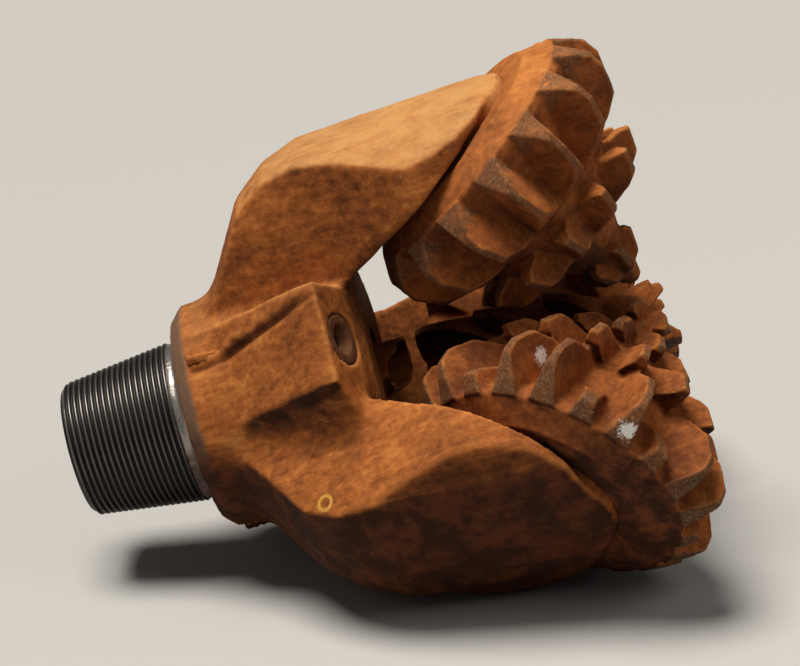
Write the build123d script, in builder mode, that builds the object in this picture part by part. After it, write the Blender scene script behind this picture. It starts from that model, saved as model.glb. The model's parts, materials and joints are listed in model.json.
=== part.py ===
"""Large rotary rock bit with three milled-tooth cones, lying on its side.

Millimetres. Each piece is drawn in the bit's own frame, where X runs along the bit's
axis from the small end of the threaded pin, and the last step lays the whole bit down
on two of its legs. In the resting frame X runs along the bit, Y points away from the
viewer of the photograph's side and Z is up.
"""

from build123d import *
import math
import os

# Overall sizes, along the bit's axis (station) and across it (radius)
GAUGE_RADIUS = 304.8
APEX_STATION = 640.0
JOURNAL_ANGLE = 36.0
BORE_RADIUS = 41.0

# API 7-5/8 regular pin: one in four taper on the diameter
PIN_LENGTH = 133.35
PIN_SMALL_RADIUS = 72.24
PIN_LARGE_RADIUS = 88.9
PIN_END_CHAMFER = 5.0
RELIEF_LENGTH = 13.0
RELIEF_DEPTH = 3.0

# Shoulder, bevel, shank and dome of the welded body: station, radius
BODY_PROFILE = (
    (PIN_LENGTH, 107.5),
    (147.0, 121.5),
    (172.0, 122.5),
    (183.0, 127.0),
    (230.0, 128.0),
    (300.0, 134.0),
    (326.0, 128.0),
    (337.0, 112.0),
)

# Outside of a leg on its middle line: station, radius
LEG_BACK = (
    (150.0, 100.0),
    (165.0, 121.0),
    (183.0, 130.0),
    (201.0, 157.0),
    (238.0, 219.0),
    (274.0, 248.0),
    (313.0, 262.0),
    (431.0, 270.0),
    (529.0, 275.0),
)
LEG_TIP = 529.0

# Shield-shaped outline of a leg: station, half widths on its two sides at the back (the
# leading side is the wider one), and half widths on its two sides deep inside
LEG_OUTLINE = (
    (170.0, 30.0, 22.0, 50.0, 44.0),
    (240.0, 46.0, 28.0, 80.0, 62.0),
    (285.0, 68.0, 44.0, 98.0, 80.0),
    (313.0, 82.0, 56.0, 104.0, 90.0),
    (345.0, 100.0, 70.0, 112.0, 100.0),
    (372.0, 111.0, 88.0, 120.0, 114.0),
    (400.0, 117.0, 108.0, 132.0, 130.0),
    (425.0, 119.0, 121.0, 138.0, 140.0),
    (452.0, 112.0, 114.0, 136.0, 136.0),
    (480.0, 101.0, 99.0, 128.0, 126.0),
    (506.0, 78.0, 74.0, 108.0, 104.0),
    (522.0, 42.0, 42.0, 74.0, 74.0),
    (530.0, 12.0, 12.0, 34.0, 34.0),
)
LEG_OUTLINE_TOP = 290.0
LEG_OUTLINE_DEEP = 110.0
LEG_FACE = 283.0

# Bearing journal that each cone turns on, distances from the apex along the cone's axis
JOURNAL_RADIUS = 78.0
JOURNAL_END = 189.0
PILOT_RADIUS = 38.0
PILOT_END = 144.0
RUNNING_CLEARANCE = 0.08
BEARING_END_GAP = 4.0
CONE_BACK = 278.0

# Root surface of a cone between its teeth: distance from the apex, radius
CONE_CORE = (
    (CONE_BACK, 111.0),
    (275.0, 115.0),
    (260.0, 139.0),
    (250.0, 138.0),
    (232.0, 126.0),
    (204.0, 112.0),
    (176.0, 102.0),
    (152.0, 90.0),
    (124.0, 71.0),
    (100.0, 46.0),
    (76.0, 28.0),
    (48.0, 17.0),
    (32.0, 9.0),
)

# Side views of the teeth, from their outer end to their inner end: distance, radius
GAUGE_TOOTH = (
    (261.0, 120.0),
    (261.0, 140.5),
    (243.0, 155.5),
    (231.0, 163.0),
    (213.0, 163.0),
    (184.0, 147.0),
    (173.0, 124.0),
    (165.0, 92.0),
)
TALL_TOOTH = (
    (261.0, 120.0),
    (261.0, 140.5),
    (244.0, 158.0),
    (230.0, 169.0),
    (212.0, 168.0),
    (186.0, 151.0),
    (174.0, 128.0),
    (165.0, 96.0),
)
STUB_TOOTH = (
    (261.0, 120.0),
    (261.0, 140.5),
    (247.0, 155.0),
    (237.0, 151.0),
    (219.0, 133.0),
    (203.0, 106.0),
)
OUTER_TOOTH = (
    (171.0, 84.0),
    (167.0, 126.0),
    (159.0, 137.0),
    (137.0, 121.5),
    (131.0, 108.0),
    (125.0, 70.0),
)
MIDDLE_TOOTH = (
    (155.0, 74.0),
    (149.0, 110.0),
    (142.0, 121.5),
    (119.0, 107.0),
    (113.0, 94.0),
    (109.0, 56.0),
)
INNER_TOOTH = (
    (113.0, 46.0),
    (109.0, 78.0),
    (102.0, 84.0),
    (81.0, 64.0),
    (77.0, 54.0),
    (73.0, 28.0),
)
NOSE_TOOTH = (
    (83.0, 24.0),
    (78.0, 37.0),
    (71.0, 40.0),
    (50.0, 27.0),
    (47.0, 21.0),
    (45.0, 11.0),
)
TIP_TOOTH = (
    (53.0, 14.0),
    (49.0, 30.0),
    (43.0, 33.0),
    (26.0, 22.0),
    (24.0, 16.0),
    (24.0, 5.0),
)

# Rows of teeth on each cone: side view, number, crest and root half width, depth of the
# root below the crest, turn of the first tooth, and which teeth are cut short
ROWS_TOP = (
    (GAUGE_TOOTH, STUB_TOOTH, 15, 5.0, 21.0, 42.0, -11.0, ()),
    (MIDDLE_TOOTH, MIDDLE_TOOTH, 12, 4.5, 16.0, 34.0, 4.0, ()),
    (NOSE_TOOTH, NOSE_TOOTH, 6, 4.5, 10.0, 18.0, 0.0, ()),
)
ROWS_FRONT = (
    (TALL_TOOTH, STUB_TOOTH, 21, 5.0, 17.0, 50.0, 136.0, (1, 4, 6, 9, 12, 14, 17, 19)),
    (OUTER_TOOTH, OUTER_TOOTH, 15, 4.5, 13.5, 34.0, 56.0, ()),
    (INNER_TOOTH, INNER_TOOTH, 10, 4.5, 11.5, 28.0, 79.0, ()),
    (TIP_TOOTH, TIP_TOOTH, 4, 4.0, 8.0, 14.0, 10.0, ()),
)
ROWS_BACK = (
    (TALL_TOOTH, STUB_TOOTH, 17, 5.0, 20.0, 48.0, 6.0, (3, 7, 11, 15)),
    (OUTER_TOOTH, OUTER_TOOTH, 13, 4.5, 15.0, 34.0, 5.0, ()),
    (INNER_TOOTH, INNER_TOOTH, 9, 4.5, 12.0, 28.0, 9.0, ()),
)

# Nozzle boss between two legs: station, radius on its middle plane
BOSS_PROFILE = (
    (166.0, 60.0),
    (170.0, 100.0),
    (205.0, 136.0),
    (288.0, 197.0),
    (308.0, 204.0),
    (327.0, 204.0),
    (331.0, 197.0),
    (331.0, 60.0),
)
BOSS_TURNS = (-60.0, 60.0)
BOSS_LEADING_WIDTH = 65.0
BOSS_TRAILING_WIDTH = 42.0
BOSS_SKIRT_WIDTH = 94.0
BOSS_SKIRT_RADIUS = 84.0
BOSS_END = 331.0
NOZZLE_TURN = -62.0
NOZZLE_RADIUS_FROM_AXIS = 168.0
NOZZLE_SOCKET_RADIUS = 27.0
NOZZLE_SOCKET_DEPTH = 40.0
NOZZLE_SINK = 6.0
NOZZLE_LENGTH = 32.0
NOZZLE_BORE_RADIUS = 6.5
NOZZLE_LIP_RADIUS = 17.0
NOZZLE_LIP_DEPTH = 7.0
PASSAGE_RADIUS = 14.0
PASSAGE_STATION = 225.0
PASSAGE_DROP = 18.0

# Centre jet that stands in the mouth of the bore, between the cones
JET_START = 300.0
JET_END = 368.0
JET_RADIUS = 28.0
JET_BORE_RADIUS = 23.0
JET_SEAT_RADIUS = 46.0
JET_SEAT_CLEARANCE = 0.1

# Seam welds between the three forgings
WELD_SIZE = 10.0
WELD_RADIUS = 121.5
WELD_START = 151.0
WELD_END = 318.0

# Where each leg stands round the axis, and the sector of the body forged with it
LEG_TURNS = {"top": 0.0, "front": 120.0, "back": 240.0}
SECTOR_START = 12.0

# How the bit lies at rest
REST_ELEVATION = 12.02

psi = math.radians(JOURNAL_ANGLE)
CONE_OUT = (-math.sin(psi), 0.0, math.cos(psi))
CONE_SIDE = (math.cos(psi), 0.0, math.sin(psi))


def face_plane(distance):
    """Plane across the top leg's cone axis, at a distance from the apex."""
    return Plane(
        origin=(
            APEX_STATION + distance * CONE_OUT[0],
            0.0,
            distance * CONE_OUT[2],
        ),
        x_dir=CONE_SIDE,
        z_dir=CONE_OUT,
    )


def cone_plane(turn):
    """Lengthwise plane of a cone: local X is its radius and local Y runs out from the apex."""
    side = math.radians(turn)
    radial = (
        math.cos(side) * CONE_SIDE[0],
        math.sin(side),
        math.cos(side) * CONE_SIDE[2],
    )
    out = CONE_OUT
    normal = (
        radial[1] * out[2] - radial[2] * out[1],
        radial[2] * out[0] - radial[0] * out[2],
        radial[0] * out[1] - radial[1] * out[0],
    )
    return Plane(origin=(APEX_STATION, 0.0, 0.0), x_dir=radial, z_dir=normal)


CONE_AXIS = Axis((APEX_STATION, 0.0, 0.0), CONE_OUT)
CREST_SLOPE = math.tan(psi)


def turned(shape, turn):
    """Shape turned about the bit's axis."""
    return shape.rotate(Axis.X, turn)


# One leg forging, drawn as the top one, with its third of pin, shoulder and shank
relief_start = PIN_LENGTH - RELIEF_LENGTH
relief_radius = PIN_SMALL_RADIUS + relief_start / 8.0
sector_plane = Plane.XY.rotated((SECTOR_START, 0.0, 0.0))
with BuildPart() as forging:
    with BuildSketch(sector_plane) as body_outline:
        with BuildLine() as body_line:
            Polyline(
                (0.0, BORE_RADIUS),
                (0.0, PIN_SMALL_RADIUS - PIN_END_CHAMFER),
                (PIN_END_CHAMFER, PIN_SMALL_RADIUS + PIN_END_CHAMFER / 8.0),
                (relief_start, relief_radius),
                (relief_start + 2.0, relief_radius - RELIEF_DEPTH),
                (PIN_LENGTH - 3.0, relief_radius - RELIEF_DEPTH),
                (PIN_LENGTH, relief_radius),
                *BODY_PROFILE,
                (BODY_PROFILE[-1][0], BORE_RADIUS),
                close=True,
            )
        make_face()
    revolve(axis=Axis.X, revolution_arc=120.0)

# Arm of the leg: side view, cut by the leg's shield outline and rounded to the hole's wall
face_station = APEX_STATION - (LEG_FACE - 112.0 * math.cos(psi)) / math.sin(psi)
tip_radius = (LEG_FACE - (APEX_STATION - LEG_TIP) * math.sin(psi)) / math.cos(psi)
with BuildPart() as shield:
    with BuildSketch(Plane.XY.offset(LEG_OUTLINE_TOP)) as shield_top:
        with BuildLine() as top_line:
            Polyline(
                *[(row[0], row[1]) for row in LEG_OUTLINE],
                *[(row[0], -row[2]) for row in reversed(LEG_OUTLINE)],
                close=True,
            )
        make_face()
    with BuildSketch(Plane.XY.offset(LEG_OUTLINE_DEEP)) as shield_deep:
        with BuildLine() as deep_line:
            Polyline(
                *[(row[0], row[3]) for row in LEG_OUTLINE],
                *[(row[0], -row[4]) for row in reversed(LEG_OUTLINE)],
                close=True,
            )
        make_face()
    loft(ruled=True)

with BuildPart() as arm:
    with BuildSketch(Plane.XZ) as arm_side:
        with BuildLine() as arm_line:
            Polyline(
                *LEG_BACK,
                (LEG_TIP, tip_radius),
                (face_station, 112.0),
                (face_station, 100.0),
                close=True,
            )
        make_face()
    extrude(amount=150.0, both=True)
    with BuildSketch(Plane.XZ) as round_side:
        with BuildLine() as round_line:
            Polyline(
                *LEG_BACK,
                (560.0, 286.0),
                (560.0, 60.0),
                (150.0, 60.0),
                close=True,
            )
        make_face()
    revolve(axis=Axis.X, revolution_arc=360.0, mode=Mode.INTERSECT)
    add(shield.part, mode=Mode.INTERSECT)

with BuildPart() as boss:
    with BuildSketch(Plane.XZ.offset(-BOSS_LEADING_WIDTH)) as boss_side:
        with BuildLine() as boss_line:
            Polyline(*BOSS_PROFILE, close=True)
        make_face()
    extrude(amount=BOSS_LEADING_WIDTH + BOSS_TRAILING_WIDTH)
    with BuildSketch(Plane.XZ.offset(BOSS_TRAILING_WIDTH)) as skirt_top:
        with BuildLine() as skirt_top_line:
            Polyline(*BOSS_PROFILE, close=True)
        make_face()
    with BuildSketch(Plane.XZ.offset(BOSS_SKIRT_WIDTH)) as skirt_foot:
        with BuildLine() as skirt_foot_line:
            Polyline(
                *[(station, min(radius, BOSS_SKIRT_RADIUS)) for station, radius in BOSS_PROFILE],
                close=True,
            )
        make_face()
    loft(ruled=True)

# Nozzle socket, lengthwise in the boss, and the passage from the bit's bore to it
nozzle_turn = math.radians(90.0 + NOZZLE_TURN)
socket_y = NOZZLE_RADIUS_FROM_AXIS * math.cos(nozzle_turn)
socket_z = NOZZLE_RADIUS_FROM_AXIS * math.sin(nozzle_turn)
socket_plane = Plane(
    origin=(BOSS_END, socket_y, socket_z),
    x_dir=(0.0, 1.0, 0.0),
    z_dir=(1.0, 0.0, 0.0),
)
passage_from = Vector(PASSAGE_STATION, 0.0, 0.0)
passage_share = 1.0 - PASSAGE_DROP / NOZZLE_RADIUS_FROM_AXIS
passage_to = Vector(
    BOSS_END - NOZZLE_SOCKET_DEPTH + 4.0,
    socket_y * passage_share,
    socket_z * passage_share,
)
passage_run = passage_to - passage_from
passage_plane = Plane(origin=passage_from, x_dir=(0.0, socket_z, -socket_y), z_dir=passage_run)


def seam_point(turn, radius):
    """Point across the bit's axis, for a seam between two forgings."""
    side = math.radians(turn)
    return (radius * math.cos(side), radius * math.sin(side))


with BuildPart() as leg:
    add(forging.part)
    add(arm.part)
    for boss_turn in BOSS_TURNS:
        add(turned(boss.part, boss_turn))
    with BuildSketch(sector_plane) as sector_outline:
        with BuildLine() as sector_line:
            Polyline((-1.0, 0.0), (-1.0, 320.0), (600.0, 320.0), (600.0, 0.0), close=True)
        make_face()
    revolve(axis=Axis.X, revolution_arc=120.0, mode=Mode.INTERSECT)
    with BuildSketch(face_plane(LEG_FACE + 4.0)) as journal_end:
        Circle(JOURNAL_RADIUS)
    extrude(amount=-(LEG_FACE + 4.0 - JOURNAL_END))
    with BuildSketch(face_plane(JOURNAL_END)) as pilot_end:
        Circle(PILOT_RADIUS)
    extrude(amount=-(JOURNAL_END - PILOT_END))
    with BuildSketch(Plane.YZ) as bore_mouth:
        Circle(BORE_RADIUS)
    extrude(amount=345.0, mode=Mode.SUBTRACT)
    with BuildSketch(Plane.YZ.offset(JET_START)) as jet_seat:
        Circle(JET_SEAT_RADIUS)
    extrude(amount=60.0, mode=Mode.SUBTRACT)
    with BuildSketch(socket_plane) as socket_mouth:
        Circle(NOZZLE_SOCKET_RADIUS)
    extrude(amount=-NOZZLE_SOCKET_DEPTH, mode=Mode.SUBTRACT)
    with BuildSketch(passage_plane) as passage_mouth:
        Circle(PASSAGE_RADIUS)
    extrude(amount=passage_run.length, mode=Mode.SUBTRACT)
    for seam_turn in (SECTOR_START, SECTOR_START + 120.0):
        with BuildSketch(Plane.YZ.offset(WELD_START)) as seam_groove:
            with Locations(seam_point(seam_turn, WELD_RADIUS)):
                Rectangle(WELD_SIZE, WELD_SIZE, rotation=seam_turn + 45.0)
        extrude(amount=WELD_END - WELD_START, mode=Mode.SUBTRACT)


# One milled tooth: its side view, narrowed from root to crest along the crest's own slope
def tooth_shape(side_view, crest, root, depth):
    """Tooth at a turn of nought on the top leg's cone."""
    outer, inner = side_view[len(side_view) // 2 - 1], side_view[-3]
    slope = math.atan2(outer[1] - inner[1], outer[0] - inner[0])
    base = cone_plane(0.0)
    run = base.y_dir * math.cos(slope) + base.x_dir * math.sin(slope)
    lift = base.x_dir * math.cos(slope) - base.y_dir * math.sin(slope)
    start = base.from_local_coords((inner[1], inner[0])) - run * 60.0
    with BuildPart() as tooth:
        with BuildSketch(Plane(origin=start, x_dir=lift, z_dir=run)) as flanks:
            Polygon(
                (-depth - 30.0, -root - 3.0),
                (-depth, -root),
                (0.0, -crest),
                (14.0, -crest + 2.0),
                (14.0, crest - 2.0),
                (0.0, crest),
                (-depth, root),
                (-depth - 30.0, root + 3.0),
                align=None,
            )
        extrude(amount=220.0)
        with BuildSketch(base) as side:
            with BuildLine() as side_line:
                Polyline(*[(radius, distance) for distance, radius in side_view], close=True)
            make_face()
        extrude(amount=40.0, both=True, mode=Mode.INTERSECT)
    return tooth.part


def cone_shape(rows):
    """Cone with its rows of milled teeth and its bearing bore."""
    with BuildPart() as cone:
        with BuildSketch(cone_plane(0.0)) as core_outline:
            with BuildLine() as core_line:
                Polyline(
                    (0.0, CONE_CORE[-1][0] - 4.0),
                    (0.0, CONE_CORE[-1][0] + 20.0),
                    (JOURNAL_RADIUS, CONE_BACK),
                    *[(radius, distance) for distance, radius in CONE_CORE],
                    close=True,
                )
            make_face()
        revolve(axis=CONE_AXIS, revolution_arc=360.0)
        for full, stub, count, crest, root, depth, first, short in rows:
            full_tooth = tooth_shape(full, crest, root, depth)
            stub_tooth = tooth_shape(stub, crest + 3.0, root, depth - 10.0)
            for index in range(count):
                tooth = stub_tooth if index in short else full_tooth
                add(tooth.rotate(CONE_AXIS, first - index * 360.0 / count))
        with BuildSketch(cone_plane(0.0)) as bearing_outline:
            with BuildLine() as bearing_line:
                Polyline(
                    (0.0, PILOT_END - BEARING_END_GAP),
                    (PILOT_RADIUS + RUNNING_CLEARANCE, PILOT_END - BEARING_END_GAP),
                    (PILOT_RADIUS + RUNNING_CLEARANCE, JOURNAL_END - BEARING_END_GAP),
                    (JOURNAL_RADIUS + RUNNING_CLEARANCE, JOURNAL_END - BEARING_END_GAP),
                    (JOURNAL_RADIUS + RUNNING_CLEARANCE, CONE_BACK + 6.0),
                    (0.0, CONE_BACK + 6.0),
                    close=True,
                )
            make_face()
        revolve(axis=CONE_AXIS, revolution_arc=360.0, mode=Mode.SUBTRACT)
    return cone.part


LEG_NAMES = ("top", "front", "back")
ROW_TABLES = {"top": ROWS_TOP, "front": ROWS_FRONT, "back": ROWS_BACK}

with BuildPart() as nozzle:
    with BuildSketch(socket_plane.offset(-NOZZLE_SINK)) as nozzle_outline:
        Circle(NOZZLE_SOCKET_RADIUS)
    extrude(amount=-NOZZLE_LENGTH)
    with BuildSketch(socket_plane) as nozzle_mouth:
        Circle(NOZZLE_BORE_RADIUS)
    extrude(amount=-NOZZLE_SOCKET_DEPTH - 4.0, mode=Mode.SUBTRACT)
    with BuildSketch(socket_plane.offset(-NOZZLE_SINK - NOZZLE_LIP_DEPTH)) as lip_floor:
        Circle(NOZZLE_BORE_RADIUS + 2.0)
    with BuildSketch(socket_plane.offset(-NOZZLE_SINK)) as lip_mouth:
        Circle(NOZZLE_LIP_RADIUS)
    loft(mode=Mode.SUBTRACT)

with BuildPart() as jet:
    with BuildSketch(Plane.XY) as jet_outline:
        with BuildLine() as jet_line:
            Polyline(
                (JET_START, JET_BORE_RADIUS),
                (JET_START, JET_SEAT_RADIUS - JET_SEAT_CLEARANCE),
                (BODY_PROFILE[-1][0] - 6.0, JET_SEAT_RADIUS - JET_SEAT_CLEARANCE),
                (BODY_PROFILE[-1][0] - 2.0, JET_RADIUS),
                (JET_END, JET_RADIUS),
                (JET_END, JET_BORE_RADIUS),
                close=True,
            )
        make_face()
    revolve(axis=Axis.X, revolution_arc=360.0)

with BuildPart() as seam:
    with BuildSketch(Plane.YZ.offset(WELD_START)) as seam_outline:
        with Locations(seam_point(SECTOR_START, WELD_RADIUS)):
            Rectangle(WELD_SIZE, WELD_SIZE, rotation=SECTOR_START + 45.0)
    extrude(amount=WELD_END - WELD_START)

# Every piece in the bit's own frame
PIECES = {}
for leg_name in LEG_NAMES:
    turn = LEG_TURNS[leg_name]
    PIECES["leg_" + leg_name] = turned(leg.part, turn)
    PIECES["cone_" + leg_name] = turned(cone_shape(ROW_TABLES[leg_name]), turn)
    PIECES["nozzle_" + leg_name] = turned(nozzle.part, turn)
    PIECES["seam_" + leg_name] = turned(seam.part, turn)

PIECES["centre_jet"] = jet.part

# The bit laid down, with the middle of its outline over the origin and its lowest point at 0
laid = {name: piece.rotate(Axis.Y, -REST_ELEVATION) for name, piece in PIECES.items()}
boxes = [piece.bounding_box() for piece in laid.values()]
middle_x = (min(box.min.X for box in boxes) + max(box.max.X for box in boxes)) / 2.0
middle_y = (min(box.min.Y for box in boxes) + max(box.max.Y for box in boxes)) / 2.0
lowest = min(box.min.Z for box in boxes)

os.makedirs("parts", exist_ok=True)
for piece_name, piece in laid.items():
    with BuildPart() as placed:
        add(piece.translate((-middle_x, -middle_y, -lowest)))
    placed.part.label = piece_name
    export_step(placed.part, "parts/" + piece_name + ".step")
print("shift", -middle_x, -middle_y, -lowest)
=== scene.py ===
"""Looks for a large milled-tooth rock bit that lies on its side, rusty, with a greased thread.

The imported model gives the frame. The forgings, cones and beads are remade as fine meshes over
their solids, the thread is cut as a real helix, and every surface has a procedural finish.
"""

import json
import logging
import math
from dataclasses import dataclass
from typing import Any, Sequence

import bmesh
import bpy
import numpy as np
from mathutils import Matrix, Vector

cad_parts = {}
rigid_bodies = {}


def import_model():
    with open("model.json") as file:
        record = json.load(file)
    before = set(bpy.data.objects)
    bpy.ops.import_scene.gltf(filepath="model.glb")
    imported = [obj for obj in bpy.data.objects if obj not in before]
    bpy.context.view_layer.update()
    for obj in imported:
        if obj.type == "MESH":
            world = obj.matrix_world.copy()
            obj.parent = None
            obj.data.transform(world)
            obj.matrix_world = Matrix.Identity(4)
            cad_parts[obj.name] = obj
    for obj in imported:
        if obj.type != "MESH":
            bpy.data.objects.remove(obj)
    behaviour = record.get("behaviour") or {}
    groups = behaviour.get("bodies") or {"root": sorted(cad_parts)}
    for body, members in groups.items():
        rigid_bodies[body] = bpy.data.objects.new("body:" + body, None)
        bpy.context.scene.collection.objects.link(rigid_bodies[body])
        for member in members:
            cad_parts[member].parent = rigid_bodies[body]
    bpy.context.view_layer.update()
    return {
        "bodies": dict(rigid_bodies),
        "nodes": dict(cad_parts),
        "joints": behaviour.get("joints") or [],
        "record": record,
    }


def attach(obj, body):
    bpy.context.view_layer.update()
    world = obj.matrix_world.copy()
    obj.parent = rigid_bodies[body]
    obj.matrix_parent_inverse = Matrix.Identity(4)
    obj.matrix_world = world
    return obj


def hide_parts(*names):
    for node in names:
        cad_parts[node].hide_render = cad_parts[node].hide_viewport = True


LOG = logging.getLogger("rock_bit")

Array = np.ndarray
Colour = tuple[float, float, float, float]
Span = tuple[float, float]
Triple = tuple[float, float, float]

FRAME: dict = {}


def srgb(red: int, green: int, blue: int) -> Colour:
    """Linear colour of an 8-bit display colour."""
    parts = []
    for part in (red, green, blue):
        unit = part / 255.0
        parts.append(unit / 12.92 if unit <= 0.04045 else ((unit + 0.055) / 1.055) ** 2.4)
    return (parts[0], parts[1], parts[2], 1.0)


# The bit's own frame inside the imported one


@dataclass(frozen=True)
class Lay:
    """How the bit lies: its own frame has X along its axis from the pin's small end.

    Attributes:
        elevation: Angle of the bit's axis up from level.
        shift: Middle of the pin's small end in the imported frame, in metres.
    """

    elevation: float = math.radians(12.02)
    shift: Triple = (-0.3269603, -0.0000357, 0.1362982)

    def to_bit(self, points: Array) -> Array:
        """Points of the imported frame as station, across and up of the bit, in metres."""
        moved = points - np.array(self.shift)
        cos, sin = math.cos(self.elevation), math.sin(self.elevation)
        station = moved[:, 0] * cos + moved[:, 2] * sin
        rise = -moved[:, 0] * sin + moved[:, 2] * cos
        return np.column_stack((station, moved[:, 1], rise))

    def to_row(self, points: Array) -> Array:
        """Points of the bit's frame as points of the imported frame."""
        cos, sin = math.cos(self.elevation), math.sin(self.elevation)
        across = points[:, 0] * cos - points[:, 2] * sin
        rise = points[:, 0] * sin + points[:, 2] * cos
        return np.column_stack((across, points[:, 1], rise)) + np.array(self.shift)


LAY = Lay()

# Station where the cones' axes meet, their lean to the cross plane, and their angles about the bit
APEX = 0.640
TILT = math.radians(36.0)
TURNS = {"top": math.radians(90.0), "front": math.radians(210.0), "back": math.radians(330.0)}

# Keeps a radius that is divided by above zero, in metres
TINY = 1e-6


def turned(bit: Array, turn: float) -> tuple[Array, Array]:
    """Distances out from the bit's axis towards an angle, and sideways from there."""
    cos, sin = math.cos(turn), math.sin(turn)
    return bit[:, 1] * cos + bit[:, 2] * sin, bit[:, 2] * cos - bit[:, 1] * sin


def about_cone(bit: Array, name: str) -> tuple[Array, Array, Array]:
    """How points lie about a cone's axis.

    Args:
        bit: Points in the bit's frame.
        name: The cone's name.

    Returns:
        Distance from the apex along the axis, radius from the axis, and outward directions.
    """
    turn = TURNS[name]
    lean = math.cos(TILT)
    axis = np.array((-math.sin(TILT), lean * math.cos(turn), lean * math.sin(turn)))
    arm = bit - np.array((APEX, 0.0, 0.0))
    along = arm @ axis
    away = arm - along[:, None] * axis
    return along, np.linalg.norm(away, axis=1), away


def step(values: Array, low: float, high: float) -> Array:
    """Smooth step from 0 at low to 1 at high."""
    part = np.clip((values - low) / (high - low), 0.0, 1.0)
    return part * part * (3.0 - 2.0 * part)


# Smooth noise for real surface relief


def lattice(corners: Array, seed: int) -> Array:
    """Repeatable random number from -1 to 1 at whole-number corners."""
    x, y, z = (corners[..., i].astype(np.int64) for i in range(3))
    mixed = (x * 374761393 + y * 668265263 + z * 2147483647 + seed * 1274126177) & 0xFFFFFFFF
    mixed = ((mixed ^ (mixed >> 13)) * 1274126177) & 0xFFFFFFFF
    mixed = mixed ^ (mixed >> 16)
    return (mixed & 0xFFFF) / 32767.5 - 1.0


def noise(points: Array, size: float, seed: int = 0) -> Array:
    """Value noise of about a given feature size, from -1 to 1."""
    scaled = points / size
    low = np.floor(scaled)
    part = scaled - low
    ease = part * part * (3.0 - 2.0 * part)
    total = np.zeros(len(points))
    for dx in (0, 1):
        for dy in (0, 1):
            for dz in (0, 1):
                weight = np.ones(len(points))
                for axis, upper in enumerate((dx, dy, dz)):
                    weight = weight * (ease[:, axis] if upper else 1.0 - ease[:, axis])
                total += weight * lattice(low + np.array((dx, dy, dz)), seed)
    return total


def relief(points: Array, size: float, octaves: int = 3, seed: int = 0) -> Array:
    """Noise of several sizes added together."""
    total = np.zeros(len(points))
    for octave in range(octaves):
        total += noise(points, size / 2**octave, seed + octave) / 2**octave
    return total


# Shader expressions


class Field:
    """A shader socket that takes part in Python expressions."""

    def __init__(self, finish: "Finish", socket: Any) -> None:
        """Keeps the finish it belongs to and its socket."""
        self.finish = finish
        self.socket = socket

    def maths(self, operation: str, *others: Any) -> "Field":
        """One Math node on this value and others."""
        values = {i: value for i, value in enumerate((self, *others))}
        return self.finish.node("ShaderNodeMath", {"operation": operation}, values)

    def __add__(self, other: Any) -> "Field":
        """Sum."""
        return self.maths("ADD", other)

    __radd__ = __add__

    def __mul__(self, other: Any) -> "Field":
        """Product."""
        return self.maths("MULTIPLY", other)

    __rmul__ = __mul__

    def __sub__(self, other: Any) -> "Field":
        """Difference."""
        return self.maths("SUBTRACT", other)

    def __rsub__(self, other: Any) -> "Field":
        """Difference from a number."""
        return self.finish.node("ShaderNodeMath", {"operation": "SUBTRACT"}, {0: other, 1: self})

    def clip(self) -> "Field":
        """Value held between 0 and 1."""
        return self.finish.node(
            "ShaderNodeClamp", {}, {"Value": self, "Min": 0.0, "Max": 1.0}
        )

    def band(self, low: float, high: float) -> "Field":
        """Smooth step from 0 at low to 1 at high."""
        return self.finish.node(
            "ShaderNodeMapRange",
            {"interpolation_type": "SMOOTHSTEP"},
            {"Value": self, "From Min": low, "From Max": high, "To Min": 0.0, "To Max": 1.0},
        )


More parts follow.
